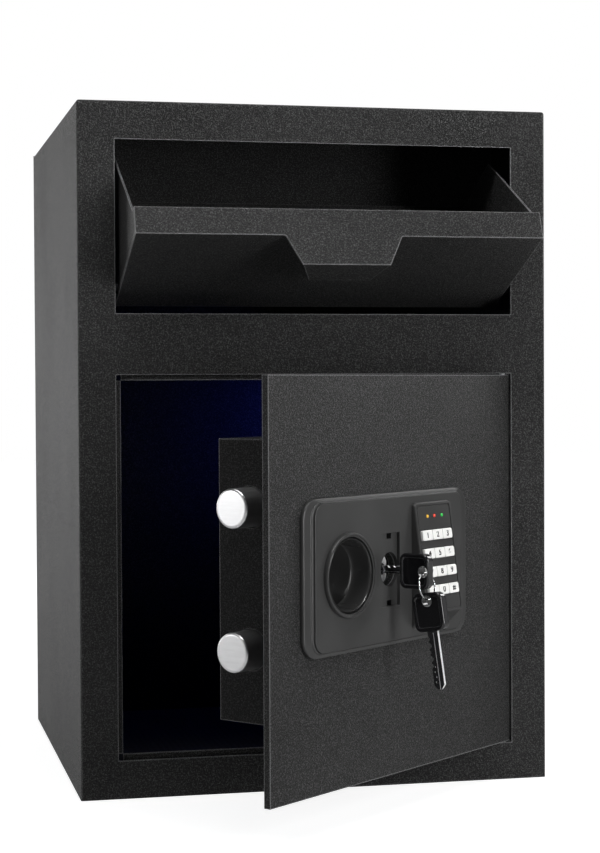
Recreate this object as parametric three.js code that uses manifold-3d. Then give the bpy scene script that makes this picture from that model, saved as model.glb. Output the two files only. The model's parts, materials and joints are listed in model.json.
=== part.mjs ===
// A front-load depository safe: a steel cabinet with a tilting deposit hopper above a hinged door
// that carries an electronic lock. Millimetres, +Z up, front face towards -Y, origin at the centre
// of the cabinet's base. The hopper is tilted out and the door stands ajar.
import * as THREE from "three";
import { mergeVertices } from "three/addons/utils/BufferGeometryUtils.js";
import Module from "manifold-3d";

const wasm = await Module();
wasm.setup();

// ---- Driving dimensions ----------------------------------------------------------------------
const WIDTH = 350;
const DEPTH = 350;
const HEIGHT = 500;
const SHEET = 2; // body and frame plate
const GAP = 0.3; // clearance left between pieces that touch
const FRONT = -DEPTH / 2;

const OPENING_X = 148; // half width of both openings in the front frame
const DOOR_WAY = { z0: 28, z1: 304.5 };
const HOPPER_WAY = { z0: 348.5, z1: 472.5 };
const STOP_EDGE = 4; // how far the door stops show inside the door opening

const DOOR = { x0: -147, x1: 145.8, z0: 29, z1: 303.5, thick: 5 };
const HINGE = { x: 142.8, depth: 4.8, pinRadius: 2, ajar: 40 };

const BOLT = { radius: 13, tip: -140.5, tail: -100, depth: 36, spacing: 93, travel: 18 };
const LOCK_Z = 171; // height of the lock, the knob and the middle of the boltwork
const COVER = { x0: -121, x1: 92, z0: 76, z1: 262, depth: 62, sheet: 1.5 };

const PANEL = { x: -17.8, w: 195, h: 104, corner: 14, flange: 3.3, face: 5.3 };
const PLATEAU = { w: 175, h: 97.4, corner: 9 };
const KNOB = { x: -68.3, bore: 25.5, radius: 25, ring: 28.4, ringFace: 8.3, floor: -8.5 };
const LOCK = { x: -19.3, hole: 11.8, radius: 9.6, plug: 6, face: -2 };

const PAD = { x: 28.7, w: 46, top: 215, bottom: 138, foot: 127, topOut: 7.6, bottomOut: 18.5 };
const KEY = { w: 11.9, h: 7.2, pitchX: 12.5, pitchZ: 12.8, first: 23.2, proud: 1.3 };
const KEY_LABELS = [["1", "2", "3"], ["4", "5", "6"], ["7", "8", "9"], ["star", "0", "hash"]];
const LED = { radius: 1.5, drop: 10, places: { led_yellow: -8, led_red: 0.5, led_green: 10 } };

const HOPPER = { depth: 16, z: 367, open: 68, top: 102, bottom: -17, sheet: 2, plate: -6.4 };
const CHEEK = { outer: 144.7, thick: 1.5 };
const FLANGE_END = 14;
const TRAY = { drop: 25, length: 108, under: -4.4, sheet: 1.8 };
const ROD_RADIUS = 4;
const PULL = { reach: 22, base: 42, end: 31, lip: 25, lipEnd: 22 };

const KEY_HEAD = { long: 24, tall: 24, thick: 7, corner: 5, hole: 3.8 };
const RING = { radius: 8.7, wire: 0.8, hang: 1.1 }; // hang: from a hole's centre to the wire in it
const LEAN = 9; // degrees that the ring and the hanging key stand out from the upright

// ---- Materials -------------------------------------------------------------------------------
function material(color, roughness, metalness) {
  return new THREE.MeshStandardMaterial({ color, roughness, metalness });
}
const paint = material(0x242426, 0.6, 0.3);
const steel = material(0xb8babd, 0.35, 0.9);
const chrome = material(0xe4e6e8, 0.12, 1);
const panelPlastic = material(0x333437, 0.5, 0);
const keyPlastic = material(0xf1f1ee, 0.4, 0);
const headPlastic = material(0x0c0c0d, 0.2, 0);
const rubber = material(0x1d1d1e, 0.9, 0);
const board = material(0x1f5a34, 0.5, 0);
const ledColors = {
  led_yellow: material(0xf0c040, 0.3, 0),
  led_red: material(0xd83020, 0.3, 0),
  led_green: material(0x35c04a, 0.3, 0),
};

// ---- Geometry helpers ------------------------------------------------------------------------
const rad = THREE.MathUtils.degToRad;
const inward = (depth) => FRONT + depth; // y of a point this far behind the front face
const outward = (out) => FRONT - out;

function box([x0, x1], [y0, y1], [z0, z1]) {
  const g = new THREE.BoxGeometry(x1 - x0, y1 - y0, z1 - z0);
  return g.translate((x0 + x1) / 2, (y0 + y1) / 2, (z0 + z1) / 2);
}

function shapeOf(points, holes = []) {
  const shape = new THREE.Shape(points.map(([u, v]) => new THREE.Vector2(u, v)));
  shape.holes = holes;
  return shape;
}

function extrude(shape, depth, curveSegments = 6) {
  return new THREE.ExtrudeGeometry(shape, { depth, bevelEnabled: false, curveSegments });
}

// An outline in (x, y) swept from z0 to z1.
function alongZ(shape, z0, z1) {
  return extrude(shape, z1 - z0).translate(0, 0, z0);
}

// An outline in (y, z) swept from x0 to x1.
function alongX(shape, x0, x1) {
  return extrude(shape, x1 - x0)
    .rotateX(Math.PI / 2)
    .rotateZ(Math.PI / 2)
    .translate(x0, 0, 0);
}

// An outline in (x, z) swept from y0 to y1.
function alongY(shape, y0, y1, curveSegments) {
  return extrude(shape, y1 - y0, curveSegments)
    .rotateX(Math.PI / 2)
    .translate(0, y1, 0);
}

function rectangle([x0, x1], [z0, z1]) {
  return shapeOf([[x0, z0], [x1, z0], [x1, z1], [x0, z1]]);
}

function roundedRectangle(x, z, w, h, r) {
  const shape = new THREE.Shape();
  const [left, right, low, high] = [x - w / 2, x + w / 2, z - h / 2, z + h / 2];
  shape.moveTo(left + r, low);
  shape.absarc(right - r, low + r, r, -Math.PI / 2, 0);
  shape.absarc(right - r, high - r, r, 0, Math.PI / 2);
  shape.absarc(left + r, high - r, r, Math.PI / 2, Math.PI);
  shape.absarc(left + r, low + r, r, Math.PI, Math.PI * 1.5);
  return shape;
}

function rodX(radius, x0, x1, y, z, sides = 24) {
  const g = new THREE.CylinderGeometry(radius, radius, x1 - x0, sides);
  return g.rotateZ(Math.PI / 2).translate((x0 + x1) / 2, y, z);
}

function rodY(radius, x, y0, y1, z, sides = 32) {
  const g = new THREE.CylinderGeometry(radius, radius, y1 - y0, sides);
  return g.translate(x, (y0 + y1) / 2, z);
}

function rodZ(radius, x, y, z0, z1, sides = 20) {
  const g = new THREE.CylinderGeometry(radius, radius, z1 - z0, sides);
  return g.rotateX(Math.PI / 2).translate(x, y, (z0 + z1) / 2);
}

function solid(geometry) {
  const bare = geometry.clone();
  bare.deleteAttribute("normal");
  bare.deleteAttribute("uv");
  const merged = mergeVertices(bare, 1e-4);
  const vertProperties = new Float32Array(merged.attributes.position.array);
  const triVerts = new Uint32Array(merged.index.array);
  return new wasm.Manifold(new wasm.Mesh({ numProp: 3, vertProperties, triVerts }));
}

function geometryOf(manifold) {
  const mesh = manifold.getMesh();
  const g = new THREE.BufferGeometry();
  g.setAttribute("position", new THREE.BufferAttribute(mesh.vertProperties, 3));
  g.setIndex(new THREE.BufferAttribute(mesh.triVerts, 1));
  const flat = g.toNonIndexed();
  flat.computeVertexNormals();
  return flat;
}

// The first geometries joined, less the ones to cut away.
function carve(joined, cuts = []) {
  let result = solid(joined[0]);
  for (const g of joined.slice(1)) result = result.add(solid(g));
  for (const g of cuts) result = result.subtract(solid(g));
  return geometryOf(result);
}

function piece(name, geometry, surface) {
  const mesh = new THREE.Mesh(geometry, surface);
  mesh.name = name;
  return mesh;
}

// ---- Cabinet ---------------------------------------------------------------------------------
const ANCHOR = { radius: 6, x: 110, y: 100, backZ: 400 };

function cabinetShell() {
  const [x0, x1] = [-WIDTH / 2, WIDTH / 2];
  const between = [inward(SHEET), DEPTH / 2 - SHEET];
  const inner = [x0 + SHEET, x1 - SHEET];
  const anchors = [-1, 1].flatMap((sx) =>
    [-1, 1].map((sy) => rodZ(ANCHOR.radius, sx * ANCHOR.x, sy * ANCHOR.y, -1, SHEET + 1)),
  );
  const wallHoles = [-1, 1].map((sx) =>
    rodY(ANCHOR.radius, sx * ANCHOR.x, DEPTH / 2 - SHEET - 1, DEPTH / 2 + 1, ANCHOR.backZ, 20),
  );
  const back = box([x0, x1], [DEPTH / 2 - SHEET, DEPTH / 2], [0, HEIGHT]);
  return [
    piece("side_panel_left", box([x0, x0 + SHEET], between, [0, HEIGHT]), paint),
    piece("side_panel_right", box([x1 - SHEET, x1], between, [0, HEIGHT]), paint),
    piece("roof_panel", box(inner, between, [HEIGHT - SHEET, HEIGHT]), paint),
    piece("floor_panel", carve([box(inner, between, [0, SHEET])], anchors), paint),
    piece("back_panel", carve([back], wallHoles), paint),
  ];
}

function frontFrame() {
  const outline = rectangle([-WIDTH / 2, WIDTH / 2], [0, HEIGHT]);
  outline.holes = [DOOR_WAY, HOPPER_WAY].map((way) =>
    rectangle([-OPENING_X, OPENING_X], [way.z0, way.z1]),
  );
  return piece("front_frame", alongY(outline, FRONT, inward(SHEET)), paint);
}

// The stops are angles welded behind the frame, whose free flange catches the back of the door.
function doorStops() {
  const seat = DOOR.thick + 0.6;
  const tail = seat + SHEET;
  const stopSection = (edge, weld, toward) => [
    [weld, inward(SHEET)],
    [weld + toward * 7, inward(SHEET)],
    [weld + toward * 7, inward(seat)],
    [edge, inward(seat)],
    [edge, inward(tail)],
    [weld, inward(tail)],
  ];
  const left = shapeOf(stopSection(STOP_EDGE - OPENING_X, -158, 1).reverse());
  const span = [-OPENING_X + STOP_EDGE, 126];
  const lip = (edge, weld, toward) =>
    shapeOf(stopSection(edge, weld, toward).map(([z, y]) => [y, z]));
  const high = lip(DOOR_WAY.z1 - STOP_EDGE, DOOR_WAY.z1 + 10, -1);
  const low = lip(DOOR_WAY.z0 + STOP_EDGE, DOOR_WAY.z0 - 10, 1);
  const leftSpan = [DOOR_WAY.z0 + STOP_EDGE, DOOR_WAY.z1 - STOP_EDGE];
  return [
    piece("door_stop_left", alongZ(left, ...leftSpan), paint),
    piece("door_stop_top", alongX(high, ...span), paint),
    piece("door_stop_bottom", alongX(low, ...span), paint),
  ];
}

// Two folds of sheet hang from the roof behind the hopper, so that a hand cannot follow a deposit.
function fishingBaffle() {
  const depth = 118;
  const bottom = 432;
  const inside = WIDTH / 2 - SHEET - GAP;
  const section = shapeOf([
    [inward(depth), bottom],
    [inward(depth + 14), bottom - 8],
    [inward(depth + 15), bottom - 6.4],
    [inward(depth + 1.5), bottom + 1.4],
    [inward(depth + 1.5), HEIGHT - SHEET],
    [inward(depth), HEIGHT - SHEET],
  ]);
  return piece("fishing_baffle", alongX(section, -inside, inside), paint);
}

function hopperBrackets() {
  return [-1, 1].map((side) => {
    const [x0, x1] = side < 0 ? [-153, -150] : [150, 153];
    const plate = box([x0, x1], [inward(SHEET), inward(32)], [HOPPER.z - 14, HOPPER.z + 14]);
    const bore = rodX(ROD_RADIUS + GAP, x0 - 1, x1 + 1, inward(HOPPER.depth), HOPPER.z);
    const name = side < 0 ? "hopper_bracket_left" : "hopper_bracket_right";
    return piece(name, carve([plate], [bore]), steel);
  });
}

function hingeBlocks() {
  const make = (name, z0, z1) => {
    const block = box([135, 153], [inward(SHEET), inward(12)], [z0, z1]);
    const bore = rodZ(HINGE.pinRadius + GAP, HINGE.x, inward(HINGE.depth), z0 - 1, z1 + 1);
    return piece(name, carve([block], [bore]), steel);
  };
  return [
    make("hinge_block_top", DOOR_WAY.z1 + 0.5, DOOR_WAY.z1 + 7),
    make("hinge_block_bottom", DOOR_WAY.z0 - 7, DOOR_WAY.z0 - 0.5),
  ];
}

function floorMat() {
  const inside = WIDTH / 2 - SHEET - 4;
  const mat = box([-inside, inside], [inward(12), DEPTH / 2 - SHEET - 4], [SHEET, SHEET + 3]);
  return piece("floor_mat", mat, rubber);
}

// ---- Hopper, drawn closed about its pivot: u is inward and w is up from the rod's axis ---------
function hopperFront() {
  const wide = CHEEK.outer;
  const { plate, sheet, top, bottom } = HOPPER;
  const fold = shapeOf([
    [plate, bottom],
    [plate + sheet, bottom],
    [plate + sheet, top - sheet],
    [FLANGE_END, top - sheet],
    [FLANGE_END, top],
    [plate, top],
  ]);
  const lipFace = plate - PULL.reach;
  const tab = shapeOf([
    [-PULL.base, plate + 1],
    [-PULL.end, lipFace],
    [PULL.end, lipFace],
    [PULL.base, plate + 1],
  ]);
  const lip = shapeOf([
    [-PULL.end, top],
    [-PULL.lipEnd, top - PULL.lip],
    [PULL.lipEnd, top - PULL.lip],
    [PULL.end, top],
  ]);
  const parts = [
    alongX(fold, -wide, wide),
    alongZ(tab, top - sheet, top),
    alongY(lip, lipFace, lipFace + sheet),
  ];
  return piece("hopper_front", carve(parts), paint);
}

// A point on the tray's plane: s along it from the pivot, rise square to it.
function onTray(s, rise) {
  const [c, d] = [Math.cos(rad(TRAY.drop)), Math.sin(rad(TRAY.drop))];
  return [s * c + rise * d, -s * d + rise * c];
}

function hopperTray() {
  const wide = CHEEK.outer - CHEEK.thick - GAP;
  const under = TRAY.under - TRAY.sheet;
  const end = TRAY.length;
  const section = shapeOf([
    onTray(-1, TRAY.under),
    onTray(-1, under),
    onTray(end, under),
    onTray(end, TRAY.under),
  ]);
  return piece("hopper_tray", alongX(section, -wide, wide), paint);
}

function hopperCheek(name, side) {
  const wide = CHEEK.outer;
  const front = HOPPER.plate + HOPPER.sheet + GAP;
  const ceiling = HOPPER.top - HOPPER.sheet - GAP;
  const notch = 7.5;
  const slope = 42.5;
  const reach = 115;
  const start = [FLANGE_END, HOPPER.top - notch];
  const corner = [start[0] + reach * Math.cos(rad(slope)), start[1] - reach * Math.sin(rad(slope))];
  const outline = shapeOf([
    [front, HOPPER.bottom],
    onTray(6, TRAY.under - TRAY.sheet),
    onTray(TRAY.length, TRAY.under - TRAY.sheet),
    corner,
    start,
    [FLANGE_END, ceiling],
    [front, ceiling],
  ]);
  const [x0, x1] = side < 0 ? [-wide, CHEEK.thick - wide] : [wide - CHEEK.thick, wide];
  const bore = rodX(ROD_RADIUS + GAP, x0 - 1, x1 + 1, 0, 0);
  return piece(name, carve([alongX(outline, x0, x1)], [bore]), paint);
}

function hopper() {
  const group = new THREE.Group();
  group.position.set(0, inward(HOPPER.depth), HOPPER.z);
  group.rotation.x = rad(HOPPER.open);
  group.add(
    hopperFront(),
    hopperTray(),
    hopperCheek("hopper_cheek_left", -1),
    hopperCheek("hopper_cheek_right", 1),
    piece("hopper_pivot_rod", rodX(ROD_RADIUS, -152.6, 152.6, 0, 0, 20), steel),
  );
  return group;
}

// ---- Door, drawn closed and swung ajar about its pins ------------------------------------------
function doorPlate() {
  const y = [FRONT, inward(DOOR.thick)];
  const plate = box([DOOR.x0, DOOR.x1], y, [DOOR.z0, DOOR.z1]);
  const through = [FRONT - 1, inward(DOOR.thick) + 1];
  const groove = (z0, z1) =>
    rodZ(HINGE.pinRadius + GAP, HINGE.x, inward(HINGE.depth), z0, z1);
  const cuts = [
    rodY(KNOB.bore, KNOB.x, ...through, LOCK_Z),
    rodY(LOCK.hole, LOCK.x, ...through, LOCK_Z),
    rodY(6, PAD.x, ...through, LOCK_Z + 12, 16),
    groove(DOOR.z1 - 14, DOOR.z1 + 1),
    groove(DOOR.z0 - 1, DOOR.z0 + 14),
  ];
  return piece("door_plate", carve([plate], cuts), paint);
}

function hingePins() {
  const make = (name, z0, z1) =>
    piece(name, rodZ(HINGE.pinRadius, HINGE.x, inward(HINGE.depth), z0, z1), steel);
  return [
    make("hinge_pin_top", DOOR.z1 - 13, DOOR_WAY.z1 + 6),
    make("hinge_pin_bottom", DOOR_WAY.z0 - 6, DOOR.z0 + 13),
  ];
}

const BATTERY = { x0: 24, x1: 84, z0: 80, z1: 146 };

function innerCover() {
  const { x0, x1, z0, z1, depth, sheet } = COVER;
  const rim = inward(DOOR.thick + GAP * 2);
  const outer = box([x0, x1], [rim, inward(depth)], [z0, z1]);
  const inside = box(
    [x0 + sheet, x1 - sheet],
    [rim - 1, inward(depth - sheet)],
    [z0 + sheet, z1 - sheet],
  );
  const boltHoles = [-1, 1].map((s) =>
    rodX(BOLT.radius + 0.5, x0 - 1, x0 + 3, inward(BOLT.depth), LOCK_Z + (s * BOLT.spacing) / 2, 32),
  );
  const b = BATTERY;
  const bay = box([b.x0, b.x1], [inward(depth - 4), inward(depth + 1)], [b.z0, b.z1]);
  return piece("inner_cover", carve([outer], [inside, ...boltHoles, bay]), paint);
}

function batteryPieces() {
  const b = BATTERY;
  const [z0, z1] = [b.z0 + 1, b.z1 - 1];
  const tray = box([b.x0 + 1, b.x1 - 1], [inward(36), inward(58)], [z0, z1]);
  const pocket = box([b.x0 + 3, b.x1 - 3], [inward(38), inward(59)], [z0 + 2, z1 - 2]);
  const lid = box([b.x0 + 0.6, b.x1 - 0.6], [inward(60.2), inward(62)], [b.z0 + 0.6, b.z1 - 0.6]);
  const grip = box([b.x0 + 20, b.x1 - 20], [inward(61), inward(63)], [b.z1 - 9, b.z1 - 6]);
  return [
    piece("battery_tray", carve([tray], [pocket]), panelPlastic),
    piece("battery_lid", carve([lid, grip]), panelPlastic),
  ];
}

function lockPanel() {
  const z = LOCK_Z;
  const at = (shape, o0, o1) => alongY(shape, outward(o1), outward(o0));
  const flange = roundedRectangle(PANEL.x, z, PANEL.w, PANEL.h, PANEL.corner);
  const plateau = roundedRectangle(PANEL.x, z, PLATEAU.w, PLATEAU.h, PLATEAU.corner);
  const recess = shapeOf([
    [LOCK.x - 15, outward(PANEL.face)],
    [LOCK.x - 15, outward(PANEL.face + 1)],
    [LOCK.x + 10.5, outward(PANEL.face + 1)],
    [LOCK.x + 10.5, outward(PANEL.face - 2.4)],
  ].reverse());
  const clips = [-1, 1].map((s) =>
    box([LOCK.x - 4, LOCK.x + 2.4], [outward(9), FRONT], [z + s * 22.8 - 1.9, z + s * 22.8 + 1.9]),
  );
  const joined = [
    at(flange, GAP, PANEL.flange),
    at(plateau, GAP, PANEL.face),
    rodY(KNOB.ring, KNOB.x, outward(KNOB.ringFace), outward(1), z, 40),
  ];
  const cuts = [
    rodY(KNOB.bore, KNOB.x, outward(10), FRONT, z, 40),
    alongZ(recess, z - 25, z + 25),
    rodY(LOCK.hole, LOCK.x, outward(10), FRONT, z, 32),
    ...clips,
  ];
  return piece("lock_panel", carve(joined, cuts), panelPlastic);
}

// A point on the keypad's face: across, down from its top edge, and square out of it.
const padTilt = Math.atan2(PAD.bottomOut - PAD.topOut, PAD.top - PAD.bottom);

function padFrame() {
  const frame = new THREE.Group();
  frame.position.set(PAD.x, outward(PAD.topOut), PAD.top);
  frame.rotation.x = -padTilt;
  frame.updateMatrix();
  return frame;
}

const rowDrop = (row) => KEY.first + row * KEY.pitchZ;

function keypadHousing() {
  const section = shapeOf([
    [outward(PANEL.face + GAP), PAD.foot],
    [outward(PAD.bottomOut), PAD.bottom],
    [outward(PAD.topOut), PAD.top],
    [outward(PANEL.face + GAP), PAD.top],
  ].reverse());
  const body = alongX(section, PAD.x - PAD.w / 2, PAD.x + PAD.w / 2);
  const toFace = padFrame().matrix;
  const [fieldHalf, rowHalf] = [PAD.w / 2 - 3, PAD.w / 2 - 4];
  const field = box([-fieldHalf, fieldHalf], [-2, 0.8], [-74, -3]).applyMatrix4(toFace);
  const pockets = [0, 1, 2, 3].map((row) => {
    const half = KEY.h / 2 + 0.4;
    const z = -rowDrop(row);
    return box([-rowHalf, rowHalf], [-1, rowDepth(row)], [z - half, z + half]).applyMatrix4(toFace);
  });
  const ledHoles = Object.values(LED.places).map((x) =>
    rodY(LED.radius + GAP, x, -1, 1.7, -LED.drop, 16).applyMatrix4(toFace),
  );
  return piece("keypad_housing", carve([body], [field, ...pockets, ...ledHoles]), panelPlastic);
}

// The pockets deepen as the wedge does.
function rowDepth(row) {
  return 3.2 + row * 0.6;
}

function keypadFace() {
  const frame = padFrame();
  KEY_LABELS.forEach((labels, row) =>
    labels.forEach((label, column) => {
      const cap = roundedRectangle(0, 0, KEY.w, KEY.h, 1.2);
      const geometry = alongY(cap, -KEY.proud, 0.8 + GAP, 3);
      const key = piece("keypad_key_" + label, geometry, keyPlastic);
      key.position.set((column - 1) * KEY.pitchX, 0, -rowDrop(row));
      frame.add(key);
    }),
  );
  for (const [name, x] of Object.entries(LED.places)) {
    const stem = rodY(LED.radius, 0, -0.2, 1.3, 0, 16);
    const dome = rodY(LED.radius * 0.7, 0, -0.5, 0, 0, 16);
    const led = piece(name, carve([stem, dome]), ledColors[name]);
    led.position.set(x, 0.1, -LED.drop);
    frame.add(led);
  }
  return frame;
}

function turnKnob() {
  const { radius, floor } = KNOB;
  const rim = 6.6;
  const under = floor - 2.5;
  const profile = [
    [0, floor],
    [radius - 4.6, floor],
    [radius - 3.2, floor + 1],
    [radius - 2.6, floor + 4],
    [radius - 2, rim - 1],
    [radius - 1.2, rim],
    [radius, rim],
    [radius, under + 1],
    [radius - 1.5, under],
    [0, under],
  ];
  const cup = new THREE.LatheGeometry(profile.map(([r, o]) => new THREE.Vector2(r, o)).reverse(), 36);
  return piece("turn_knob", cup.rotateZ(Math.PI).translate(KNOB.x, FRONT, LOCK_Z), panelPlastic);
}

// The spindle carries an arm whose pin drives the bolt carriage through its slot.
const CRANK = { radius: BOLT.travel / 2 / Math.sin(rad(45)), pin: 3, depth: 21 };

function knobCrank() {
  const back = inward(-KNOB.floor + 2.5 + GAP);
  const half = BOLT.travel / 2;
  const spindle = rodY(4, KNOB.x, back, inward(CRANK.depth + 3), LOCK_Z, 20);
  const y = [inward(CRANK.depth), inward(CRANK.depth + 3)];
  const arm = box([-3.5, 3.5], [y[0], y[1]], [-4, CRANK.radius + 3.4])
    .rotateY(rad(45))
    .translate(KNOB.x, 0, LOCK_Z);
  const pin = rodY(CRANK.pin, KNOB.x + half, y[0], inward(30), LOCK_Z + half, 20);
  return piece("knob_crank", carve([spindle, arm, pin]), steel);
}

function boltCarriage() {
  const bar = box([-99.7, -93.7], [inward(24), inward(48)], [LOCK_Z - 62, LOCK_Z + 62]);
  const tongue = box([-94, -44], [inward(26), inward(29)], [LOCK_Z - 16, LOCK_Z + 22]);
  const half = BOLT.travel / 2;
  const slotX = KNOB.x + half;
  const slot = box([slotX - 4, slotX + 4], [inward(25), inward(30.5)], [LOCK_Z + 4.5, LOCK_Z + 17.5]);
  return piece("bolt_carriage", carve([bar, tongue], [slot]), steel);
}

function lockBolt(name, z) {
  const { radius, tip, tail, depth } = BOLT;
  const bevel = 1.6;
  const profile = [
    [0, tail],
    [radius, tail],
    [radius, tip + bevel],
    [radius - bevel, tip],
    [0, tip],
  ];
  const lathe = new THREE.LatheGeometry(profile.map(([r, x]) => new THREE.Vector2(r, x)).reverse(), 36);
  return piece(name, lathe.rotateZ(-Math.PI / 2).translate(0, inward(depth), z), chrome);
}

function solenoid() {
  const [x, y] = [-56, inward(29)];
  const bodyZ = [LOCK_Z - 54, LOCK_Z - 28];
  const housing = box([x - 11, x + 11], [inward(20), inward(38)], bodyZ);
  const bore = rodZ(3.4, x, y, bodyZ[0] + 4, bodyZ[1] + 1);
  return [
    piece("solenoid_body", carve([housing], [bore]), steel),
    piece("solenoid_plunger", rodZ(3, x, y, LOCK_Z - 42, LOCK_Z - 17), steel),
  ];
}

function emergencyLock() {
  const front = inward(-LOCK.face);
  const z = LOCK_Z;
  const barrel = rodY(LOCK.radius, LOCK.x, front, inward(30), z, 32);
  const bore = rodY(LOCK.plug + 0.2, LOCK.x, front - 1, inward(31), z, 24);
  const plug = rodY(LOCK.plug, LOCK.x, front, inward(33), z, 24);
  const keyway = box([LOCK.x - 1.4, LOCK.x + 1.4], [front - 1, inward(24)], [z - 3.2, z + 3.2]);
  const cam = box([LOCK.x - 3, LOCK.x + 3], [inward(31), inward(33)], [z - 16, z]);
  return [
    piece("emergency_lock_body", carve([barrel], [bore]), chrome),
    piece("lock_plug", carve([plug, cam], [keyway]), chrome),
  ];
}

// A flat plastic head in the plane x = 0, from u0 to u1 along y and z0 to z1, with a ring hole.
function keyHead(name, yRange, zRange, [holeY, holeZ], slot) {
  const { thick, corner, hole } = KEY_HEAD;
  const w = yRange[1] - yRange[0];
  const h = zRange[1] - zRange[0];
  const y = (yRange[0] + yRange[1]) / 2;
  const z = (zRange[0] + zRange[1]) / 2;
  const outline = roundedRectangle(y, z, w, h, corner);
  const body = alongX(outline, LOCK.x - thick / 2, LOCK.x + thick / 2);
  const bore = rodX(hole, LOCK.x - thick, LOCK.x + thick, holeY, holeZ, 20);
  return piece(name, carve([body], [bore, slot]), headPlastic);
}

const HEAD_OUT = { near: 14, far: 37.5, hole: 33 };

function insertedKey() {
  const z = LOCK_Z;
  const half = KEY_HEAD.tall / 2;
  const tip = inward(22);
  const root = outward(HEAD_OUT.near + 6);
  const bladeHalf = 2.6;
  const slotHalf = bladeHalf + GAP;
  const blade = box([LOCK.x - 1, LOCK.x + 1], [root, tip], [z - bladeHalf, z + bladeHalf]);
  const slot = box([LOCK.x - 1.3, LOCK.x + 1.3], [root - GAP, tip], [z - slotHalf, z + slotHalf]);
  const range = [outward(HEAD_OUT.far), outward(HEAD_OUT.near)];
  const hole = [outward(HEAD_OUT.hole), z];
  return [
    piece("key_blade_inserted", blade, chrome),
    keyHead("key_head_inserted", range, [z - half, z + half], hole, slot),
  ];
}

// The ring hangs low in one hole and high in the next, clear of both heads' faces.
const RING_Z = LOCK_Z - RING.hang - RING.radius;
const SPARE_HOLE_Z = RING_Z - RING.radius - RING.hang;

function keyRing() {
  const torus = new THREE.TorusGeometry(RING.radius, RING.wire, 8, 28);
  torus.rotateX(Math.PI / 2).translate(LOCK.x, outward(HEAD_OUT.hole), RING_Z);
  return piece("key_ring", torus, chrome);
}

function spareKey() {
  const y = outward(HEAD_OUT.hole);
  const top = SPARE_HOLE_Z + 5.5;
  const bottom = top - 26;
  const half = KEY_HEAD.long / 2;
  const blade = box([LOCK.x - 1, LOCK.x + 1], [y - 4, y + 4], [bottom - 39, bottom + 6]);
  const slot = box([LOCK.x - 1.3, LOCK.x + 1.3], [y - 4.3, y + 4.3], [bottom - 1, bottom + 6.3]);
  const head = [[y - half, y + half], [bottom, top], [y, SPARE_HOLE_Z]];
  return [
    piece("spare_key_blade", blade, chrome),
    keyHead("spare_key_head", ...head, slot),
  ];
}

// The ring turns about the wire in the upper hole, and carries the spare key.
function hangingKey() {
  const y = outward(HEAD_OUT.hole);
  const z = LOCK_Z - RING.hang;
  const lean = new THREE.Group();
  lean.position.set(0, y, z);
  lean.rotation.x = rad(-LEAN);
  const upright = new THREE.Group();
  upright.position.set(0, -y, -z);
  upright.add(keyRing(), ...spareKey());
  lean.add(upright);
  return lean;
}

function circuitBoard() {
  const plate = box([6, 70], [inward(12), inward(13.6)], [LOCK_Z - 14, LOCK_Z + 44]);
  return piece("circuit_board", plate, board);
}

function door() {
  const swing = new THREE.Group();
  swing.position.set(HINGE.x, inward(HINGE.depth), 0);
  swing.rotation.z = rad(HINGE.ajar);
  const closed = new THREE.Group();
  closed.position.set(-HINGE.x, -inward(HINGE.depth), 0);
  closed.add(
    doorPlate(),
    ...hingePins(),
    innerCover(),
    ...batteryPieces(),
    lockPanel(),
    keypadHousing(),
    keypadFace(),
    turnKnob(),
    knobCrank(),
    boltCarriage(),
    lockBolt("lock_bolt_upper", LOCK_Z + BOLT.spacing / 2),
    lockBolt("lock_bolt_lower", LOCK_Z - BOLT.spacing / 2),
    ...solenoid(),
    ...emergencyLock(),
    ...insertedKey(),
    hangingKey(),
    circuitBoard(),
  );
  swing.add(closed);
  return swing;
}

// ---- The whole safe --------------------------------------------------------------------------
const safe = new THREE.Group();
safe.add(
  ...cabinetShell(),
  frontFrame(),
  ...doorStops(),
  fishingBaffle(),
  ...hopperBrackets(),
  ...hingeBlocks(),
  floorMat(),
  hopper(),
  door(),
);

export default safe;
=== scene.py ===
import json
from math import asin, atan2, cos, degrees, pi, radians, sin

import bmesh
import bpy
from mathutils import Matrix, Vector


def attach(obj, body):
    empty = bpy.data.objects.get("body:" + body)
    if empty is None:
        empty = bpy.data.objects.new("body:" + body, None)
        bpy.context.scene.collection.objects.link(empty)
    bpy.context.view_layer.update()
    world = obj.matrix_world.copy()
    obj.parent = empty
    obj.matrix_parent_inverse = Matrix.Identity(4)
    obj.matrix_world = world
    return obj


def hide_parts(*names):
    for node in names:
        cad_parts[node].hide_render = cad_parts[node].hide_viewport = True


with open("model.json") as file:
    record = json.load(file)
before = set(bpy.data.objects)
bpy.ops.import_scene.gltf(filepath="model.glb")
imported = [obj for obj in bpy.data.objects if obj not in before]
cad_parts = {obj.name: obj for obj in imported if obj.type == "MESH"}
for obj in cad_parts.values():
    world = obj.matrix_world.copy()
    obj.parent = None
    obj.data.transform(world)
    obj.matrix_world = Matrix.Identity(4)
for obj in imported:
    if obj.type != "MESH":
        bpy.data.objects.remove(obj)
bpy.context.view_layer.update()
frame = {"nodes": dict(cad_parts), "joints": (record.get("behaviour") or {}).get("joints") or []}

# A front-load depository safe around its CAD frame, in metres. Each piece is drawn in the axes of the
# part that carries it (the closed door, the lock's face, the keypad's face) and placed where that part
# stands at rest. All sizes below are in millimetres and are scaled where they are used.
MM = 0.001
SHARP = radians(32)


# ---- Places: the axes that the pieces are drawn in ---------------------------------------------------
def shift(x=0.0, y=0.0, z=0.0):
    return Matrix.Translation((x, y, z))


def turn(angle, axis):
    return Matrix.Rotation(radians(angle), 4, axis)


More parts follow.
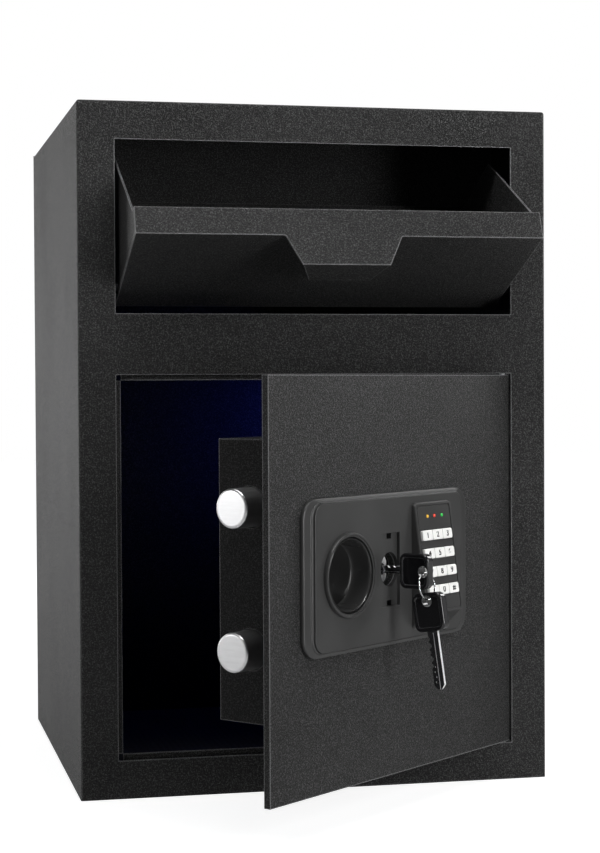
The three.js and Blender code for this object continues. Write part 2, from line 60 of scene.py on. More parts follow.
def span(node, place=None):
    """The lowest and highest corners of a CAD node, measured in the axes of a place."""
    back = (place or Matrix()).inverted()
    points = [back @ v.co for v in frame["nodes"][node].data.vertices]
    low = Vector(min(p[i] for p in points) for i in range(3))
    high = Vector(max(p[i] for p in points) for i in range(3))
    return low, high


def opened(joint_name):
    """Moves what is drawn closed to where its joint holds it at rest."""
    joint = next(j for j in frame["joints"] if j["name"] == joint_name)
    angle = -joint["range_deg"][0]
    pivot = Vector(joint["pos_m"])
    spin = Matrix.Rotation(radians(angle), 4, Vector(joint["axis"]))
    return shift(*pivot) @ spin @ shift(*-pivot)


FRAME_LOW, FRAME_HIGH = span("front_frame")
FRONT = FRAME_LOW.y
SHEET = FRAME_HIGH.y - FRAME_LOW.y
DOOR = opened("door_swing")
FACE = DOOR @ shift(0, FRONT, 0) @ turn(90, "X")  # x along the door, y up, z out of its front

KNOB_LOW, KNOB_HIGH = span("turn_knob", FACE)
KNOB_X = (KNOB_LOW.x + KNOB_HIGH.x) / 2
LOCK_LOW, LOCK_HIGH = span("emergency_lock_body", FACE)
LOCK_X = (LOCK_LOW.x + LOCK_HIGH.x) / 2
LOCK_Y = (LOCK_LOW.y + LOCK_HIGH.y) / 2
KEY_AXES = FACE @ shift(LOCK_X, LOCK_Y, 0) @ turn(-90, "Y")  # x out of the door, y up, z to the left


def hanging_axes():
    """The key's axes, turned about the upper ring hole as far as the ring leans out at rest."""
    joints = {j["name"]: j for j in frame["joints"]}
    pivot = KEY_AXES.inverted() @ Vector(joints["ring_swing"]["pos_m"])
    rise = joints["spare_key_swing"]["axis"][2]
    return KEY_AXES @ shift(*pivot) @ turn(degrees(asin(rise)), "Z") @ shift(*-pivot)


HANG_AXES = hanging_axes()


# ---- Meshes ------------------------------------------------------------------------------------------
def shaded(mesh, angle=SHARP):
    for polygon in mesh.polygons:
        polygon.use_smooth = True
    mesh.set_sharp_from_angle(angle=angle)


def made(name, bm, place=None, surface=None):
    """A named object from a bmesh, whose vertices are put in place."""
    bmesh.ops.remove_doubles(bm, verts=bm.verts, dist=1e-7)
    bmesh.ops.recalc_face_normals(bm, faces=bm.faces)
    mesh = bpy.data.meshes.new(name)
    bm.to_mesh(mesh)
    bm.free()
    mesh.transform(place or Matrix())
    shaded(mesh)
    piece = bpy.data.objects.new(name, mesh)
    bpy.context.scene.collection.objects.link(piece)
    if surface:
        mesh.materials.append(surface)
    return piece


def baked(piece):
    """The piece's modifiers, made part of its mesh."""
    surface = piece.data.materials[0] if piece.data.materials else None
    graph = bpy.context.evaluated_depsgraph_get()
    mesh = bpy.data.meshes.new_from_object(piece.evaluated_get(graph))
    piece.modifiers.clear()
    piece.data = mesh
    mesh.name = piece.name
    mesh.materials.clear()
    if surface:
        mesh.materials.append(surface)
    return piece


def cut_out(piece, cutters):
    """Takes the cutters out of a piece and removes them."""
    for cutter in cutters:
        boolean = piece.modifiers.new("cut", "BOOLEAN")
        boolean.operation = "DIFFERENCE"
        boolean.solver = "EXACT"
        boolean.object = cutter
    baked(piece)
    for cutter in cutters:
        bpy.data.objects.remove(cutter)
    return piece


def eased(piece, width, segments=2, angle=30):
    """Rounds the piece's edges by a width in millimetres."""
    bevel = piece.modifiers.new("eased_edges", "BEVEL")
    bevel.width = width * MM
    bevel.segments = segments
    bevel.limit_method = "ANGLE"
    bevel.angle_limit = radians(angle)
    return baked(piece)


def even_normals(piece):
    """Lets the larger faces set the shading, so that flats stay flat beside their eased edges."""
    weighted = piece.modifiers.new("even_normals", "WEIGHTED_NORMAL")
    weighted.mode = "FACE_AREA"
    weighted.weight = 50
    weighted.keep_sharp = True


def skin(bm, loops, closed=True):
    """Joins rings of points into one surface, and closes its ends."""
    rings = [[bm.verts.new(p) for p in loop] for loop in loops]
    for a, b in zip(rings, rings[1:]):
        for i in range(len(a)):
            j = (i + 1) % len(a)
            bm.faces.new((a[i], a[j], b[j], b[i]))
    if closed:
        bm.faces.new(rings[0])
        bm.faces.new(rings[-1])
    return bm


def rounded_loop(w, h, r, z, x=0.0, y=0.0, steps=8):
    """A rounded rectangle's points at height z, in metres, from millimetres."""
    corners = [(1, 1, 0), (-1, 1, 90), (-1, -1, 180), (1, -1, 270)]
    loop = []
    for sx, sy, start in corners:
        for k in range(steps + 1):
            a = radians(start + 90 * k / steps)
            u = x + sx * (w / 2 - r) + r * cos(a)
            v = y + sy * (h / 2 - r) + r * sin(a)
            loop.append(Vector((u, v, z)) * MM)
    return loop


def lathe(name, profile, place, surface, segments=96):
    """A profile of (radius, height) in millimetres, turned round the place's z axis."""
    bm = bmesh.new()
    rings = []
    for r, z in profile:
        if r == 0:
            rings.append([bm.verts.new((0, 0, z * MM))])
            continue
        ring = []
        for i in range(segments):
            a = 2 * pi * i / segments
            ring.append(bm.verts.new((r * cos(a) * MM, r * sin(a) * MM, z * MM)))
        rings.append(ring)
    for a, b in zip(rings, rings[1:]):
        for i in range(segments):
            j = (i + 1) % segments
            corners = [a[i % len(a)], a[j % len(a)], b[j % len(b)], b[i % len(b)]]
            bm.faces.new(dict.fromkeys(corners))
    return made(name, bm, place, surface)


def block(name, low, high, place=None, surface=None):
    """A closed box between two corners in metres, as a cutter or the start of a piece."""
    bm = bmesh.new()
    size = Vector(high) - Vector(low)
    bmesh.ops.create_cube(bm, size=1)
    bmesh.ops.scale(bm, vec=size, verts=bm.verts)
    bmesh.ops.translate(bm, vec=Vector(low) + size / 2, verts=bm.verts)
    return made(name, bm, place, surface)


def drum(name, radius, low, high, place, segments=64):
    """A closed cylinder cutter along the place's z axis, in millimetres."""
    return lathe(name, [(0, low), (radius, low), (radius, high), (0, high)], place, None, segments)


def prism(name, outline, low, high, place, surface=None):
    """An outline in millimetres in the place's x and y, from z low to z high."""
    bm = bmesh.new()
    skin(bm, [[Vector((u, v, z)) * MM for u, v in outline] for z in (low, high)])
    return made(name, bm, place, surface)


def tube(name, path, radius, place, surface, sides=12, ends=True):
    """A round wire of a radius in millimetres along points in millimetres."""
    bm = bmesh.new()
    points = [Vector(p) * MM for p in path]
    side = Vector((0, 0, 1))
    loops = []
    for i, point in enumerate(points):
        ahead = points[min(i + 1, len(points) - 1)] - points[max(i - 1, 0)]
        ahead.normalize()
        across = ahead.cross(side).normalized()
        over = across.cross(ahead).normalized()
        ring = []
        for k in range(sides):
            a = 2 * pi * k / sides
            ring.append(point + (across * cos(a) + over * sin(a)) * radius * MM)
        loops.append(ring)
    return made(name, skin(bm, loops, ends), place, surface)


def joined(name, pieces):
    """Several meshes as one object."""
    bm = bmesh.new()
    for piece in pieces:
        bm.from_mesh(piece.data)
    surface = pieces[0].data.materials[0] if pieces[0].data.materials else None
    for piece in pieces:
        bpy.data.objects.remove(piece)
    return made(name, bm, None, surface)


# ---- Materials ---------------------------------------------------------------------------------------
class Finish:
    """A material under construction: its nodes, and the fields that its colours are made from."""

    def __init__(self, name, roughness, metallic=0.0, specular=0.5, coat=0.0, coat_roughness=0.1):
        self.material = bpy.data.materials.new(name)
        self.material.use_nodes = True
        self.nodes = self.material.node_tree.nodes
        self.links = self.material.node_tree.links
        self.shader = self.nodes["Principled BSDF"]
        self.shader.inputs["Roughness"].default_value = roughness
        self.shader.inputs["Metallic"].default_value = metallic
        self.shader.inputs["Specular IOR Level"].default_value = specular
        self.shader.inputs["Coat Weight"].default_value = coat
        self.shader.inputs["Coat Roughness"].default_value = coat_roughness
        self.place = self.nodes.new("ShaderNodeTexCoord").outputs["Object"]

    def stretched(self, x, y, z):
        mapping = self.nodes.new("ShaderNodeMapping")
        mapping.inputs["Scale"].default_value = (x, y, z)
        self.links.new(self.place, mapping.inputs["Vector"])
        return mapping.outputs["Vector"]

    def noise(self, scale, detail=2.0, roughness=0.5, at=None):
        node = self.nodes.new("ShaderNodeTexNoise")
        node.inputs["Scale"].default_value = scale
        node.inputs["Detail"].default_value = detail
        node.inputs["Roughness"].default_value = roughness
        self.links.new(at or self.place, node.inputs["Vector"])
        return node.outputs["Fac"]

    def ramp(self, field, stops):
        """Turns a field into colours: stops are (position, grey or colour)."""
        node = self.nodes.new("ShaderNodeValToRGB")
        elements = node.color_ramp.elements
        for i, (position, colour) in enumerate(stops):
            element = elements[i] if i < 2 else elements.new(position)
            element.position = position
            rgb = (colour,) * 3 if isinstance(colour, float) else colour
            element.color = (*rgb, 1)
        self.links.new(field, node.inputs["Fac"])
        return node.outputs["Color"]

    def mixed(self, factor, a, b, how="MIX"):
        node = self.nodes.new("ShaderNodeMix")
        node.data_type = "RGBA"
        node.blend_type = how
        for socket, value in ((node.inputs[0], factor), (node.inputs[6], a), (node.inputs[7], b)):
            if isinstance(value, bpy.types.NodeSocket):
                self.links.new(value, socket)
            else:
                socket.default_value = value
        return node.outputs[2]

    def edges(self, reach):
        """White beside edges, as far as a reach in millimetres, and black elsewhere."""
        rounded = self.nodes.new("ShaderNodeBevel")
        rounded.samples = 4
        rounded.inputs["Radius"].default_value = reach * MM
        geometry = self.nodes.new("ShaderNodeNewGeometry")
        facing = self.nodes.new("ShaderNodeVectorMath")
        facing.operation = "DOT_PRODUCT"
        self.links.new(rounded.outputs["Normal"], facing.inputs[0])
        self.links.new(geometry.outputs["Normal"], facing.inputs[1])
        return self.ramp(facing.outputs["Value"], [(0.88, 1.0), (0.98, 0.0)])

    def colour(self, field):
        self.links.new(field, self.shader.inputs["Base Color"])

    def rough(self, field, low, high):
        node = self.nodes.new("ShaderNodeMapRange")
        node.inputs["To Min"].default_value = low
        node.inputs["To Max"].default_value = high
        self.links.new(field, node.inputs["Value"])
        self.links.new(node.outputs["Result"], self.shader.inputs["Roughness"])

    def bump(self, field, height, strength=1.0):
        """Raises the surface by a field, up to a height in millimetres."""
        node = self.nodes.new("ShaderNodeBump")
        node.inputs["Strength"].default_value = strength
        node.inputs["Distance"].default_value = height * MM
        self.links.new(field, node.inputs["Height"])
        before = self.shader.inputs["Normal"]
        if before.is_linked:
            self.links.new(before.links[0].from_socket, node.inputs["Normal"])
        self.links.new(node.outputs["Normal"], before)


PAINT_EDGE_HIGHLIGHT = (0.4, 0.4, 0.41, 1)  # painted highlight: pale grey painted along edges where light would glint
# painted highlight: pale grey painted along glossy plastic edges where light would glint
PLASTIC_EDGE_HIGHLIGHT = (0.25, 0.25, 0.26, 1)


def powder_coat(name, dark, light, grain_height, roughness, specular):
    """Black powder coat: an even pebbled grain, a little cloudiness, and painted highlights along its edges
    in pale grey.
    """
    m = Finish(name, roughness, specular=specular)
    pebble = m.noise(1050, 3.0, 0.75)
    speck = m.ramp(pebble, [(0.49, 0.0), (0.66, 1.0)])
    cloud = m.noise(9, 3.0)
    coat = m.mixed(speck, (*dark, 1), (*light, 1))
    faded = m.mixed(0.1, coat, m.ramp(cloud, [(0.3, dark), (0.7, light)]))
    # painted highlight: the edge mask paints pale grey along every edge
    m.colour(m.mixed(m.edges(1.2), faded, PAINT_EDGE_HIGHLIGHT))
    m.rough(m.mixed(0.35, speck, cloud), roughness + 0.12, roughness - 0.14)
    m.bump(pebble, grain_height)
    return m.material


def metal(name, colour, roughness, brush=(30, 30, 900), scratch=0.25, metallic=1.0):
    """Plated or polished steel with fine brush marks and faint handling scratches."""
    m = Finish(name, roughness, metallic=metallic)
    lines = m.noise(1.0, 3.0, 0.6, m.stretched(*brush))
    smudge = m.noise(45, 3.0)
    bright = tuple(min(1.0, c * 1.06) for c in colour)
    dull = tuple(c * (1 - scratch) for c in colour)
    m.colour(m.ramp(m.mixed(0.5, lines, smudge), [(0.25, dull), (0.6, bright)]))
    m.rough(smudge, roughness * 0.7, roughness * 1.5)
    m.bump(lines, 0.01, 0.35)
    return m.material


def moulded(name, dark, light, roughness, grain=0.02, coat=0.0, specular=0.5):
    """Moulded plastic: spark-eroded grain, soft variation and painted highlights along its edges in a lighter
    tone.
    """
    m = Finish(name, roughness, specular=specular, coat=coat)
    pits = m.noise(1800, 2.0)
    cloud = m.noise(22, 3.0)
    edge_highlight = tuple(min(1.0, c * 1.5) for c in light)
    colour = m.ramp(m.mixed(0.35, cloud, pits), [(0.3, dark), (0.7, light)])
    # painted highlight: the edge mask paints a lighter tone along every edge
    m.colour(m.mixed(m.edges(0.25), colour, (*edge_highlight, 1)))
    m.rough(cloud, roughness * 0.85, roughness * 1.2)
    m.bump(pits, grain, 0.5)
    return m.material


def glossy_plastic(name, colour, roughness):
    """Polished plastic with fine hairline scratches and painted highlights along its edges in pale grey."""
    m = Finish(name, roughness, coat=0.4, coat_roughness=0.06)
    scratches = m.noise(1.0, 4.0, 0.7, m.stretched(900, 60, 240))
    dust = m.noise(350, 2.0)
    dusty = m.ramp(dust, [(0.4, colour), (0.75, tuple(c * 1.9 for c in colour))])
    # painted highlight: the edge mask paints pale grey along every edge
    m.colour(m.mixed(m.edges(0.5), dusty, PLASTIC_EDGE_HIGHLIGHT))
    m.rough(scratches, roughness * 0.6, roughness * 1.9)
    m.bump(scratches, 0.004, 0.3)
    return m.material


def rubber():
    m = Finish("mat_rubber_ribbed", 0.85, specular=0.3)
    ribs = m.nodes.new("ShaderNodeTexWave")
    ribs.inputs["Scale"].default_value = 60
    ribs.inputs["Distortion"].default_value = 0.2
    m.links.new(m.place, ribs.inputs["Vector"])
    grit = m.noise(700)
    speckled = m.ramp(grit, [(0.3, 0.008), (0.7, 0.022)])
    ribbed = m.ramp(ribs.outputs["Fac"], [(0.2, 0.006), (0.8, 0.02)])
    m.colour(m.mixed(0.4, speckled, ribbed))
    m.bump(ribs.outputs["Fac"], 0.5, 0.6)
    m.bump(grit, 0.05, 0.5)
    return m.material


def circuit_green():
    m = Finish("board_green", 0.45, coat=0.3)
    tracks = m.nodes.new("ShaderNodeTexBrick")
    tracks.inputs["Scale"].default_value = 160
    tracks.inputs["Color1"].default_value = (0.012, 0.1, 0.03, 1)
    tracks.inputs["Color2"].default_value = (0.016, 0.13, 0.04, 1)
    tracks.inputs["Mortar"].default_value = (0.05, 0.24, 0.07, 1)
    m.links.new(m.place, tracks.inputs["Vector"])
    m.colour(tracks.outputs["Color"])
    m.rough(m.noise(60), 0.35, 0.6)
    m.bump(tracks.outputs["Fac"], 0.04, 0.5)
    return m.material


def lens(name, colour, glow):
    """A tinted lamp lens, brighter towards its middle."""
    m = Finish(name, 0.2, coat=0.5)
    facing = m.nodes.new("ShaderNodeLayerWeight")
    facing.inputs["Blend"].default_value = 0.4
    deep = tuple(c * 0.45 for c in colour)
    m.colour(m.ramp(facing.outputs["Facing"], [(0.0, colour), (1.0, deep)]))
    m.rough(m.noise(900), 0.12, 0.3)
    m.shader.inputs["Emission Color"].default_value = (*colour, 1)
    m.shader.inputs["Emission Strength"].default_value = glow
    return m.material


def print_black():
    m = Finish("key_print", 0.5)
    m.colour(m.ramp(m.noise(1500), [(0.3, 0.004), (0.7, 0.01)]))
    m.rough(m.noise(400), 0.4, 0.6)
    return m.material


PAINT = powder_coat("powder_coat_black", (0.0005,) * 3, (0.11,) * 3, 1.4, 0.44, 0.4)
INNER_PAINT = powder_coat("powder_coat_inner", (0.0005,) * 3, (0.04,) * 3, 0.6, 0.6, 0.25)
STEEL = metal("zinc_plate", (0.62, 0.63, 0.65), 0.32)
NICKEL = metal("satin_nickel", (0.93, 0.93, 0.94), 0.3, brush=(40, 40, 400), scratch=0.06)
BLADE = metal("key_steel", (0.2, 0.2, 0.21), 0.22, brush=(60, 300, 60), scratch=0.3)
# a pale, barely metallic steel: the lock's oblong face, and a painted highlight on the key blades' edge faces
PALE_STEEL_AND_EDGE_SHEEN = metal("pale_steel_and_edge_sheen", (0.92, 0.92, 0.93), 0.4, brush=(60, 60, 300), scratch=0.2, metallic=0.25)
DARK_STEEL = metal("blackened_steel", (0.03, 0.03, 0.032), 0.45)
CHROME = metal("chrome_bright", (0.86, 0.87, 0.89), 0.1, brush=(60, 900, 60), scratch=0.15)
PLASTIC = moulded("panel_plastic_grey", (0.03,) * 3, (0.048,) * 3, 0.36)
KNOB_PLASTIC = moulded("knob_plastic_black", (0.003,) * 3, (0.006,) * 3, 0.3, grain=0.002, coat=0.1)
# painted light: a lighter grey for the knob cup's inner wall than for the rest of the same black knob
KNOB_WALL_PAINTED_LIGHT = moulded("knob_wall_painted_light", (0.036,) * 3, (0.05,) * 3, 0.24, grain=0.002, coat=0.4)
WHITE_KEYS = moulded("key_plastic_white", (0.9, 0.9, 0.88), (0.97, 0.97, 0.95), 0.35, grain=0.008)
HEAD = glossy_plastic("key_head_black", (0.006, 0.006, 0.007), 0.12)
RUBBER = rubber()
BOARD = circuit_green()
PRINT = print_black()


# ---- The CAD nodes that stay: eased edges and their finish -------------------------------------------
def dress(nodes, surface, width, segments=2):
    """Welds a CAD node's split corners in its modifiers, eases its edges, and gives it a finish."""
    for name in nodes:
        node = frame["nodes"][name]
        node.data.materials.clear()
        node.data.materials.append(surface)
        weld = node.modifiers.new("weld", "WELD")
        weld.merge_threshold = 1e-5
        flat = node.modifiers.new("flat", "DECIMATE")
        flat.decimate_type = "DISSOLVE"
        flat.angle_limit = radians(1)
        if width:
            bevel = node.modifiers.new("eased_edges", "BEVEL")
            bevel.width = width * MM
            bevel.segments = segments
            bevel.limit_method = "ANGLE"
            bevel.angle_limit = radians(25)
        even_normals(node)


dress(["back_panel", "floor_panel"], INNER_PAINT, 0.6)
dress(["door_stop_left", "door_stop_top", "door_stop_bottom"], PAINT, 0.5)
dress(["fishing_baffle"], PAINT, 0.5)
dress(["hopper_front", "hopper_tray"], PAINT, 0.7, 3)
dress(["hopper_cheek_left", "hopper_cheek_right"], PAINT, 0.5)
dress(["door_plate"], PAINT, 0.9, 3)
dress(["inner_cover"], INNER_PAINT, 0.7, 3)
dress(["hopper_bracket_left", "hopper_bracket_right"], DARK_STEEL, 0.4)
dress(["hinge_block_top", "hinge_block_bottom"], STEEL, 0.5)
dress(["hinge_pin_top", "hinge_pin_bottom"], STEEL, 0.3)
dress(["hopper_pivot_rod"], DARK_STEEL, 0.3)
dress(["knob_crank", "bolt_carriage", "solenoid_body", "solenoid_plunger"], STEEL, 0.4)
dress(["battery_tray"], PLASTIC, 0.4)
dress(["floor_mat"], RUBBER, 1.0)
dress(["circuit_board"], BOARD, 0.2)


def stands_for(piece, body, slot, *nodes):
    """Puts a piece on its body, in place of CAD nodes; the slot argument is not used."""
    even_normals(piece)
    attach(piece, body)
    if nodes:
        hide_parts(*nodes)
    return piece


# ---- Cabinet: one folded wrap of roof, sides and front -----------------------------------------------
def opening_half_width():
    """Half the width of the front frame's openings."""
    inside = [v.co.x for v in frame["nodes"]["front_frame"].data.vertices]
    return sorted({round(x, 5) for x in inside})[-2]


def opening_heights():
    """The heights where the front frame's inner edges lie, from lowest to highest."""
    inside = [v.co.z for v in frame["nodes"]["front_frame"].data.vertices]
    levels = sorted({round(z, 5) for z in inside})
    return levels[1:-1]


DOOR_WAY = opening_heights()[:2]
HOPPER_WAY = opening_heights()[2:4]
FOLD = 2.2 * MM  # the radius of the wrap's bends


def cabinet_wrap():
    roof_low, roof_high = span("roof_panel")
    back = roof_high.y
    bm = bmesh.new()
    bmesh.ops.create_cube(bm, size=1)
    low = Vector((FRAME_LOW.x, FRONT, FRAME_LOW.z))
    high = Vector((FRAME_HIGH.x, back, FRAME_HIGH.z))
    bmesh.ops.scale(bm, vec=high - low, verts=bm.verts)
    bmesh.ops.translate(bm, vec=(low + high) / 2, verts=bm.verts)

    def folded(edge):
        a, b = (v.co for v in edge.verts)
        front = abs(a.y - FRONT) < 1e-6 and abs(b.y - FRONT) < 1e-6
        roof_side = abs(a.z - high.z) < 1e-6 and abs(b.z - high.z) < 1e-6 and abs(a.x - b.x) < 1e-6
        return front or roof_side

    folds = [e for e in bm.edges if folded(e)]
    bmesh.ops.bevel(bm, geom=folds, offset=FOLD, segments=5, profile=0.5, affect="EDGES")
    wrap = made("cabinet_wrap", bm, None, PAINT)
    inner_low = (low.x + SHEET, FRONT + SHEET, low.z - SHEET)
    inner_high = (high.x - SHEET, back + SHEET, high.z - SHEET)
    half = opening_half_width()
    way_low = (-half, FRONT - SHEET, DOOR_WAY[0])
    way_high = (half, FRONT + SHEET * 2, DOOR_WAY[1])
    slot_low = (-half, FRONT - SHEET, HOPPER_WAY[0])
    slot_high = (half, FRONT + SHEET * 2, HOPPER_WAY[1])
    cutters = [
        block("hollow", inner_low, inner_high),
        block("door_way", way_low, way_high),
        block("hopper_way", slot_low, slot_high),
    ]
    cut_out(wrap, cutters)
    eased(wrap, 0.5, 2, 40)
    panels = ("side_panel_left", "side_panel_right", "roof_panel", "front_frame")
    return stands_for(wrap, "cabinet", "cabinet_paint", *panels)


cabinet_wrap()


def weld_dots():
    """Spot welds along the back panel's rim, where it is fixed to the wrap."""
    low, high = span("back_panel")
    out = turn(-90, "X")  # z out of the back
    dots = []
    columns = [low.x + 9 * MM, high.x - 9 * MM]
    rows = [low.z + 9 * MM, high.z - 9 * MM]
    places = [(x, rows[0] + (rows[1] - rows[0]) * i / 9) for x in columns for i in range(10)]
    places += [(columns[0] + (columns[1] - columns[0]) * i / 6, z) for z in rows for i in range(1, 6)]
    for i, (x, z) in enumerate(places):
        profile = [(0, 0.12), (1.6, 0.1), (2.4, 0.22), (3.0, 0.2), (3.4, -0.1), (0, -0.2)]
        dots.append(lathe(f"dot_{i}", profile, shift(x, high.y, z) @ out, INNER_PAINT, 20))
    return stands_for(joined("back_weld_spots", dots), "cabinet", "cabinet_paint")


weld_dots()


# ---- Boltwork ----------------------------------------------------------------------------------------
def lock_bolt(name, node):
    low, high = span(node, DOOR)
    middle = (low + high) / 2
    r = (high.z - low.z) / 2 / MM
    long = (high.x - low.x) / MM
    place = DOOR @ shift(high.x, middle.y, middle.z) @ turn(-90, "Y")
    profile = [
        (0, 0),
        (r - 0.6, 0),
        (r, 0.6),
        (r, long - 1.5),
        (r - 0.15, long - 0.95),
        (r - 0.55, long - 0.45),
        (r - 1.1, long - 0.12),
        (r - 1.8, long),
        (r - 2.3, long - 0.05),
        (0, long - 0.05),
    ]
    return stands_for(lathe(name, profile, place, NICKEL, 96), "boltwork", "bolt_chrome", node)


lock_bolt("bolt_round_upper", "lock_bolt_upper")
lock_bolt("bolt_round_lower", "lock_bolt_lower")


# ---- Lock panel --------------------------------------------------------------------------------------
PANEL_LOW, PANEL_HIGH = span("lock_panel", FACE)
PANEL_X = (PANEL_LOW.x + PANEL_HIGH.x) / 2 / MM
PANEL_W = (PANEL_HIGH.x - PANEL_LOW.x) / MM
PANEL_H = (PANEL_HIGH.y - PANEL_LOW.y) / MM
PANEL_FACE = 5.3
RIM_X, RIM_Y = 10.0, 3.3  # the stepped rim's width at the sides, and above and below
OUTER_CORNER, INNER_CORNER = 14.0, 9.0
HOLE = 11.8
BORE = (KNOB_HIGH.x - KNOB_LOW.x) / 2 / MM + 0.5
RECESS = {"left": 15.0, "right": 10.5, "half": 25.0, "deep": 2.4}
CLIP = {"left": 4.0, "right": 2.4, "half": 1.9, "at": 22.8}


def lock_bezel():
    lock_y = LOCK_Y / MM
    lock_x = LOCK_X / MM
    steps = [  # how far across the rim, and how high
        (0.0, 0.3),
        (0.0, 1.6),
        (0.03, 2.4),
        (0.08, 2.85),
        (0.16, 3.05),
        (0.68, 3.55),
        (0.73, 3.75),
        (0.76, 4.15),
        (0.8, 4.4),
        (0.9, 4.6),
        (0.93, 4.5),
        (0.945, 3.9),
        (0.985, 3.85),
        (1.0, 4.7),
        (1.015, 5.1),
        (1.045, PANEL_FACE),
    ]
    loops = []
    for across, height in steps:
        w = PANEL_W - 2 * RIM_X * across
        h = PANEL_H - 2 * RIM_Y * across
        r = OUTER_CORNER + (INNER_CORNER - OUTER_CORNER) * across
        loops.append(rounded_loop(w, h, r, height, PANEL_X, lock_y, 12))
    bezel = made("lock_bezel", skin(bmesh.new(), loops), FACE, PLASTIC)
    around = FACE @ shift(LOCK_X, LOCK_Y, 0)
    wedge = prism(
        "wedge",
        [
            (-RECESS["left"], PANEL_FACE),
            (-RECESS["left"], 9),
            (RECESS["right"], 9),
            (RECESS["right"], PANEL_FACE - RECESS["deep"]),
        ],
        -RECESS["half"],
        RECESS["half"],
        around @ turn(90, "X"),
    )
    cutters = [
        drum("bore", BORE, -1, 12, FACE @ shift(KNOB_X, LOCK_Y, 0), 96),
        wedge,
        drum("hole", HOLE, -1, 12, around, 64),
    ]
    for sign in (-1, 1):
        middle = sign * CLIP["at"]
        cutters.append(
            block(
                "clip",
                Vector((-CLIP["left"], middle - CLIP["half"], -1)) * MM,
                Vector((CLIP["right"], middle + CLIP["half"], 9)) * MM,
                around,
            )
        )
    cut_out(bezel, cutters)
    eased(bezel, 0.35, 2, 35)
    return stands_for(bezel, "door", "panel_plastic", "lock_panel")


def knob_ring():
    """The proud ring moulded round the knob's bore, with a step inside it."""
    profile = [
        (BORE, 0.4),
        (BORE, 6.9),
        (BORE + 0.25, 7.2),
        (BORE + 0.9, 7.3),
        (BORE + 1.0, 7.9),
        (BORE + 1.3, 8.2),
        (BORE + 1.8, 8.3),
        (BORE + 2.3, 8.15),
        (BORE + 2.7, 7.6),
        (BORE + 2.85, 6.6),
        (BORE + 2.9, 5.0),
        (BORE + 2.9, 0.4),
        (BORE, 0.4),
    ]
    ring = lathe("knob_ring", profile, FACE @ shift(KNOB_X, LOCK_Y, 0), PLASTIC, 128)
    return stands_for(ring, "door", "panel_plastic")


def knob_cup():
    """The turning cup: a rolled rim, a hollow wall painted a lighter grey than the floor as painted light,
    and a flat floor.
    """
    r = (KNOB_HIGH.x - KNOB_LOW.x) / 2 / MM
    top = KNOB_HIGH.z / MM
    base = KNOB_LOW.z / MM
    floor = base + 2.5
    profile = [
        (0, base),
        (r - 1.4, base),
        (r - 0.3, base + 0.5),
        (r, base + 1.4),
        (r, top - 0.8),
        (r - 0.2, top - 0.25),
        (r - 0.6, top),
        (r - 1.1, top - 0.1),
        (r - 1.5, top - 0.7),
        (r - 1.8, top - 2.0),
        (r - 2.0, top - 5.0),
        (r - 2.3, top - 8.5),
        (r - 2.8, floor + 3.0),
        (r - 3.2, floor + 1.2),
        (r - 3.8, floor + 0.3),
        (r - 4.6, floor),
        (0, floor),
    ]
    place = FACE @ shift(KNOB_X, LOCK_Y, 0)
    cup = lathe("knob_cup", profile, place, KNOB_PLASTIC, 128)
    # painted light: faces turned inward onto the hollow get the lighter grey, as if lit
    cup.data.materials.append(KNOB_WALL_PAINTED_LIGHT)
    back = place.inverted()
    for polygon in cup.data.polygons:
        outward = (back @ polygon.center).xy.normalized()
        normal = (back.to_3x3() @ polygon.normal).xy
        polygon.material_index = int(normal.dot(outward) < -0.4)
    return stands_for(cup, "knob", "panel_plastic", "turn_knob")


def lock_barrel():
    """The emergency lock: a dark sleeve, a bright oblong face in it, and a plug with a keyway."""
    r = (LOCK_HIGH.x - LOCK_LOW.x) / 2 / MM
    face = LOCK_HIGH.z / MM
    base = LOCK_LOW.z / MM
    bore = 4.4
    ledge = face - 4
    profile = [(bore, base), (r, base), (r, ledge - 0.4), (r - 0.4, ledge), (bore, ledge), (bore, base)]
    place = FACE @ shift(LOCK_X, LOCK_Y, 0)
    sleeve = lathe("lock_sleeve", profile, place, DARK_STEEL, 96)
    stands_for(sleeve, "door", "bolt_chrome")
    wide, tall = 1.15 * r, 2 * r
    steps = [(0, ledge), (0, face - 1.3), (0.25, face - 0.6), (0.8, face - 0.15), (1.5, face), (2.2, face)]
    loops = [rounded_loop(wide - 2 * i, tall - 2 * i, wide / 2 - i - 0.01, z, 0, 0, 12) for i, z in steps]
    oblong = made("lock_barrel", skin(bmesh.new(), loops), place, PALE_STEEL_AND_EDGE_SHEEN)
    cutters = [drum("plug_bore", bore, ledge - 1, face + 1, place, 64)]
    for sign in (-1, 1):
        at = place @ shift(0, sign * (tall / 2 - 2.9) * MM, 0)
        cutters.append(drum("dimple", 1.1, face - 0.5, face + 1, at, 32))
    cut_out(oblong, cutters)
    stands_for(oblong, "door", "bolt_chrome", "emergency_lock_body")
    plug_low, plug_high = span("lock_plug", FACE)
    front = plug_high.z / MM - 0.5
    back = plug_low.z / MM
    turned = bore - 0.15
    profile = [(0, back), (turned, back), (turned, front - 0.5), (turned - 0.5, front), (0, front)]
    plug = lathe("lock_plug_turned", profile, place, BLADE, 64)
    keyway = block("keyway", Vector((-1.3, -3.3, front - 18)) * MM, Vector((1.3, 3.3, 2)) * MM, place)
    cut_out(plug, [keyway])
    eased(plug, 0.2, 2, 35)
    cam = block("cam", Vector((-3, -16, back)) * MM, Vector((3, 0, back + 2)) * MM, place, STEEL)
    stands_for(joined("lock_plug_and_cam", [plug, cam]), "override_key", "bolt_chrome", "lock_plug")


lock_bezel()
knob_ring()
knob_cup()
lock_barrel()


# ---- Keypad ------------------------------------------------------------------------------------------
PAD_LOW, PAD_HIGH = span("keypad_housing", FACE)


